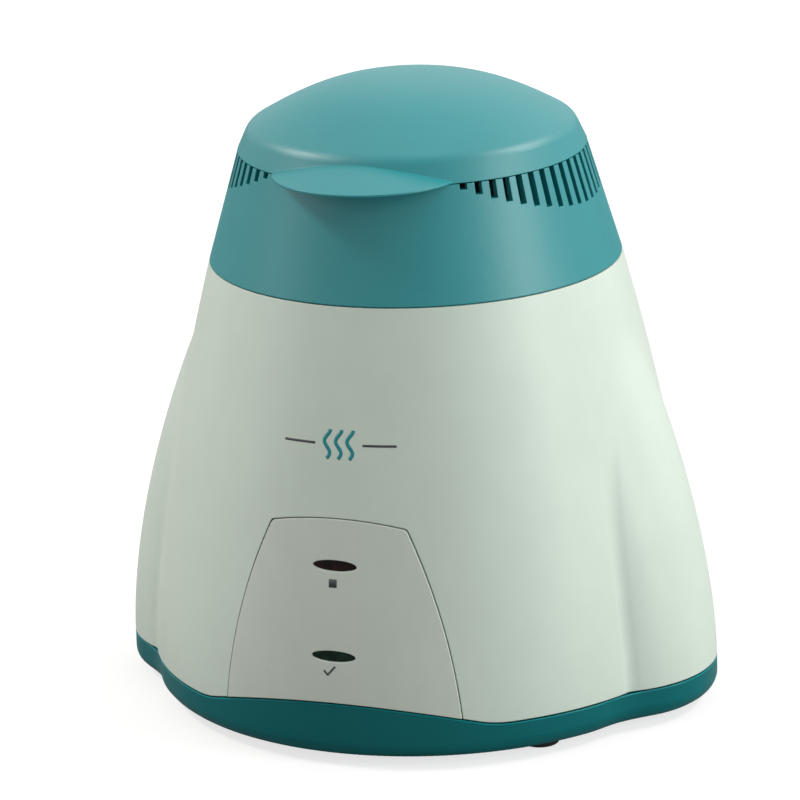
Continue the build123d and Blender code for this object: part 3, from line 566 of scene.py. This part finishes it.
def carved(mesh, *steps):
    """A mesh after Boolean steps, each an operation and the mesh it works with."""
    item = bpy.data.objects.new("blank", mesh)
    bpy.context.scene.collection.objects.link(item)
    for operation, other in steps:
        tool = bpy.data.objects.new("tool", other)
        bpy.context.scene.collection.objects.link(tool)
        change = item.modifiers.new(operation, "BOOLEAN")
        change.object = tool
        change.operation = operation
        change.solver = "EXACT"
        graph = bpy.context.evaluated_depsgraph_get()
        result = bpy.data.meshes.new_from_object(item.evaluated_get(graph))
        item.modifiers.clear()
        item.data = result
        bpy.data.objects.remove(tool)
    result = item.data
    bpy.data.objects.remove(item)
    return result


def joined(*meshes):
    """Several meshes as one."""
    work = bmesh.new()
    for mesh in meshes:
        work.from_mesh(mesh)
    whole = bpy.data.meshes.new("whole")
    work.to_mesh(whole)
    work.free()
    return whole


def make_bell():
    """The wall with its rear pocket, cut for the panel, the pocket's mouth and its fittings."""
    half, low, high, floor = (pocket[k] for k in ("half", "low", "high", "floor"))
    wall, far, slack = shell_thick, 120.0, 8.0
    box = closed(box_skin((-half - wall, floor - wall, low - wall), (half + wall, 100.0, high + wall)))
    box = carved(box, ("INTERSECT", closed(form_core(low - slack, high + slack, wall / 2))))
    mouth = box_skin((-half, floor, low), (half, far, high))
    opening = through(panel_outline(), -far, -40.0)
    middle = (low + high) / 2
    holes = [box_skin((x - wide / 2, floor - 12, middle - tall / 2),
                      (x + wide / 2, floor + 6, middle + tall / 2)) for x, wide, tall in fittings]
    shell = carved(closed(bell_wall()), ("UNION", box), ("DIFFERENCE", closed(mouth, opening)),
                   ("DIFFERENCE", closed(*holes)))
    towers = [closed(*screw_tower(angle)) for angle in (-34, 34, 146, -146)]
    return joined(shell, *towers)


def oval(z, half=7.0, high=1.8):
    """A window's edge as (x, z) points."""
    turn = np.linspace(0, 2 * np.pi, 72, endpoint=False)
    return np.stack([half * np.cos(turn), z + high * np.sin(turn)], -1)


def panel_wall():
    """The form's wall across the front, a little proud of the shell, from the parting up."""
    half_angle, top = 34, 80.0
    angle = np.linspace(-half_angle, half_angle, 90)[:, None]
    low = parting_at(angle)
    height = low + (top - low) * np.linspace(0, 1, 60)[None, :]
    outer = on_form(angle, height, -panel_proud)
    inner = on_form(angle, height, shell_thick)
    skin, quads = cells(np.concatenate([outer, inner[:, ::-1], outer[:, :1]], 1))
    rows = outer.shape[1]
    side = np.arange(rows - 1)
    first = np.stack([side, side + 1, 2 * rows - 2 - side, 2 * rows - 1 - side], -1)
    last = first + (len(angle) - 1) * (2 * rows + 1)
    return skin, quads, first, last


def make_panel():
    """The panel: its wall inside the outline, less the windows, with two posts behind."""
    far, post_radius, post_tip, post_root, post_apart = -120.0, 2.6, -80.0, -65.6, 6
    windows = [through(oval(z), far, -60.0) for z in (stop_z, ok_z)]
    outline = through(panel_outline(panel["seam"]), far, -30.0)
    plate = carved(closed(panel_wall()), ("INTERSECT", closed(outline)),
                   ("DIFFERENCE", closed(*windows)))
    middle = (stop_z + ok_z) / 2
    return joined(plate, closed(*[post(post_radius, post_tip, post_root, middle + side * post_apart)
                                  for side in (-1, 1)]))


piece("bell", make_bell(), "housing_ivory", stands_for=["body_shell"], crease=32)
piece("panel", make_panel(), "housing_ivory", stands_for=["front_panel"], crease=32,
      look="panel_ivory")


# Glass beads in the well

def bead_filling():
    """Two jittered hexagonal layers of small balls over a turned core, inside the well's bore."""
    pitch, ball, well, top, low = 1.62, 0.8, 21.7, 140.6, 88.9
    stray = 0.12                           # how far a ball is off its place, up and down
    dice = np.random.default_rng(7)
    row, line = np.meshgrid(np.arange(-16, 17), np.arange(-16, 17), indexing="ij")
    places = []
    for shift, depth in ((0.0, 0.0), (0.55, 1.25)):
        x = (line + 0.5 * (row % 2) + shift) * pitch
        y = (row + shift * 0.6) * pitch * 0.866
        near = np.hypot(x, y) < well - ball - 0.1
        spot = np.stack([x[near], y[near], np.full(near.sum(), top - ball - depth)], -1)
        places.append(spot + dice.uniform(-1, 1, spot.shape) * (0.1, 0.1, stray) - (0, 0, stray))
    places = np.concatenate(places)
    turn = np.linspace(0, 2 * np.pi, 8, endpoint=False)[:, None]
    rise = np.linspace(-np.pi / 2, np.pi / 2, 6)
    ball_grid = np.stack(np.broadcast_arrays(
        np.sin(turn) * np.cos(rise), np.cos(turn) * np.cos(rise), np.sin(rise)), -1) * ball
    points, quads = cells(ball_grid, wrap=True)
    all_points = (places[:, None] + points[None]).reshape(-1, 3)
    all_quads = (quads[None] + np.arange(len(places))[:, None, None] * len(points)).reshape(-1, 4)
    round_off, core_top = 0.8, top - 2.2
    core = lathe([(0, low), (well - round_off, low), (well, low + round_off), (well, core_top - 0.4),
                  (well - round_off, core_top), (0, core_top)])
    return closed((all_points, all_quads), core)


piece("bead_filling", bead_filling(), "beads", stands_for=["glass_beads"])


# Prints on the front

print_lift = 0.05


def ribbon(x, z, width, proud=0.0):
    """A printed line of one width along (x, z) points, laid on the front's round form."""
    along = np.gradient(np.stack([x, z], -1), axis=0)
    across = np.stack([-along[:, 1], along[:, 0]], -1) / np.linalg.norm(along, axis=1)[:, None]
    share = np.linspace(-0.5, 0.5, 3)[None, :] * width
    spread = x[:, None] + across[:, :1] * share, z[:, None] + across[:, 1:] * share
    return cells(on_front(*spread, proud + print_lift))


def heat_waves():
    """Three rising sine waves, each a ribbon 1.1 wide."""
    pitch, swing, turns, low, tall = 3.6, 0.9, 1.25, 93.6, 8.6
    s = np.linspace(0, 1, 40)
    wave = swing * np.sin(2 * np.pi * turns * s)
    return closed(*[ribbon(x + wave, low + tall * s, 1.1) for x in (-pitch, 0.0, pitch)])


def rules():
    """A straight thin rule on each side of the waves."""
    near, length, height = 7.5, 10.2, 97.9
    s = np.linspace(0, 1, 24)
    return closed(*[ribbon(side * (near + length * s), height + 0.0 * s, 0.7) for side in (-1, 1)])


def stop_square():
    """A plain square 2.5 high under the upper window."""
    size, left, height = 2.5, 0.4, 56.8
    s = np.linspace(-size / 2, size / 2, 9)
    return closed(ribbon(s - left, height + 0.0 * s, size, panel_proud))


def ready_tick():
    """A tick: a short and a long stroke that meet in a corner under the lower window."""
    s = np.linspace(0, 1, 9)[:, None]
    start, corner, end = np.array([(-3.0, 30.2), (-1.8, 28.9), (0.6, 31.6)])
    strokes = np.concatenate([start + (corner - start) * s[:-1], corner + (end - corner) * s])
    return closed(ribbon(*strokes.T, 0.6, panel_proud))


finishes["wave_ink"] = ink("wave_ink", srgb(0, 122, 128))
finishes["dark_ink"] = ink("dark_ink", (0.03, 0.035, 0.04))
for name, shape, colour in (("heat_waves", heat_waves, "wave_ink"), ("rules", rules, "dark_ink"),
                            ("stop_square", stop_square, "dark_ink"),
                            ("ready_tick", ready_tick, "dark_ink")):
    piece(name, outward(shape()), colour, wall=0.08)


# The camera, worked out from the photograph's circles

def place_camera():
    """A long lens 20 degrees round the front and 17 above it, with a slight roll."""
    turn, rise, roll = radians(20.0), radians(16.9), radians(1.93)
    right = Vector((cos(turn), sin(turn), 0))
    back = Vector((sin(turn) * cos(rise), -cos(turn) * cos(rise), sin(rise)))
    up = back.cross(right)
    x_axis = right * cos(roll) - up * sin(roll)
    y_axis = right * sin(roll) + up * cos(roll)
    seam = Vector((0, 0, seam_z * MM))
    offset = (-0.076, -0.714, 21.78)       # in seam radii: right, up and back from the seam's centre
    eye = Matrix((x_axis, y_axis, back)).transposed() @ Vector(offset) * seam_radius * MM + seam
    camera = bpy.data.objects.new("camera", bpy.data.cameras.new("camera"))
    camera.data.lens = 202.5
    camera.data.sensor_width = 36.0
    camera.data.clip_start = 0.05
    camera.data.clip_end = 30.0
    turned = Matrix((x_axis, y_axis, back)).transposed().to_4x4()
    camera.matrix_world = Matrix.Translation(eye) @ turned
    bpy.context.scene.collection.objects.link(camera)
    bpy.context.scene.camera = camera


def lamp(name, azimuth, height, distance, size, power, color=(1, 1, 1)):
    """A softbox that looks at the housing's middle. Azimuth 0 is the front, 90 the right."""
    turn, rise = radians(azimuth), radians(height)
    out = Vector((sin(turn) * cos(rise), -cos(turn) * cos(rise), sin(rise)))
    light = bpy.data.lights.new(name, "AREA")
    light.shape = "RECTANGLE"
    light.size, light.size_y = size
    light.energy = power
    light.color = color
    holder = bpy.data.objects.new(name, light)
    holder.location = out * distance + Vector((0, 0, 0.1))
    holder.rotation_mode = "QUATERNION"
    holder.rotation_quaternion = out.to_track_quat("Z", "Y")
    bpy.context.scene.collection.objects.link(holder)


def white_to_eye(name, level):
    """A level for the light on the object, and white for the camera and for reflections."""
    world = bpy.data.worlds.new(name)
    world.use_nodes = True
    tree = world.node_tree
    tree.nodes.clear()
    path = tree.nodes.new("ShaderNodeLightPath")
    strength = tree.nodes.new("ShaderNodeMapRange")
    seen = path.outputs["Is Camera Ray"]
    for ray in ("Is Glossy Ray", "Is Transmission Ray"):
        either = tree.nodes.new("ShaderNodeMath")
        either.operation = "MAXIMUM"
        tree.links.new(seen, either.inputs[0])
        tree.links.new(path.outputs[ray], either.inputs[1])
        seen = either.outputs[0]
    tree.links.new(seen, strength.inputs[0])
    strength.inputs[3].default_value = level
    strength.inputs[4].default_value = 1.0
    sky = tree.nodes.new("ShaderNodeBackground")
    sky.inputs[0].default_value = (1, 1, 1, 1)
    tree.links.new(strength.outputs[0], sky.inputs[1])
    out = tree.nodes.new("ShaderNodeOutputWorld")
    tree.links.new(sky.outputs[0], out.inputs[0])
    bpy.context.scene.world = world


def make_floor():
    """A wide pale floor that the camera sees as white, with the object's shadow on it."""
    span = 6.0
    mesh = bpy.data.meshes.new("floor")
    corners = [(-span, -span, 0), (span, -span, 0), (span, span, 0), (-span, span, 0)]
    mesh.from_pydata(corners, [], [(0, 1, 2, 3)])
    f = Finish("floor_paint")
    seen = f.add("ShaderNodeLightPath", out="Is Camera Ray")
    paint = f.add("ShaderNodeBsdfDiffuse", None, {"Color": (0.35, 0.35, 0.35, 1)})
    away = f.add("ShaderNodeVectorMath", {"operation": "LENGTH"}, {0: f.place}, "Value")
    level = f.step(away, 0.25, 1.6, 0.72, 0.94)
    glow = f.add("ShaderNodeEmission", None, {"Color": (1, 1, 1, 1), "Strength": seen * level})
    both = f.add("ShaderNodeAddShader", None, {0: paint, 1: glow})
    f.add("ShaderNodeOutputMaterial", None, {"Surface": both})
    mesh.materials.append(f.material)
    floor = bpy.data.objects.new("floor", mesh)
    bpy.context.scene.collection.objects.link(floor)


place_camera()
make_floor()
white_to_eye("room", 0.37)
lamp("softbox_right", 82, 14, 1.1, (0.3, 0.7), 5.7, (0.95, 1.0, 0.99))
lamp("softbox_far_right", 128, 14, 1.3, (0.7, 0.9), 0.4, (1.0, 0.97, 0.94))
lamp("softbox_above_right", 115, 44, 1.2, (0.32, 0.2), 6.6, (1.0, 0.95, 0.9))
lamp("softbox_above_left", -78, 44, 1.2, (0.32, 0.2), 6.8, (1.0, 0.95, 0.9))
lamp("softbox_top", 200, 84, 1.2, (0.8, 0.8), 1.4)
lamp("softbox_behind", 176, 40, 1.3, (1.3, 0.7), 1.3, (1.0, 0.94, 0.88))
lamp("softbox_left", -62, 12, 1.3, (0.4, 0.9), 1.7)
bpy.context.scene.view_settings.view_transform = "Standard"
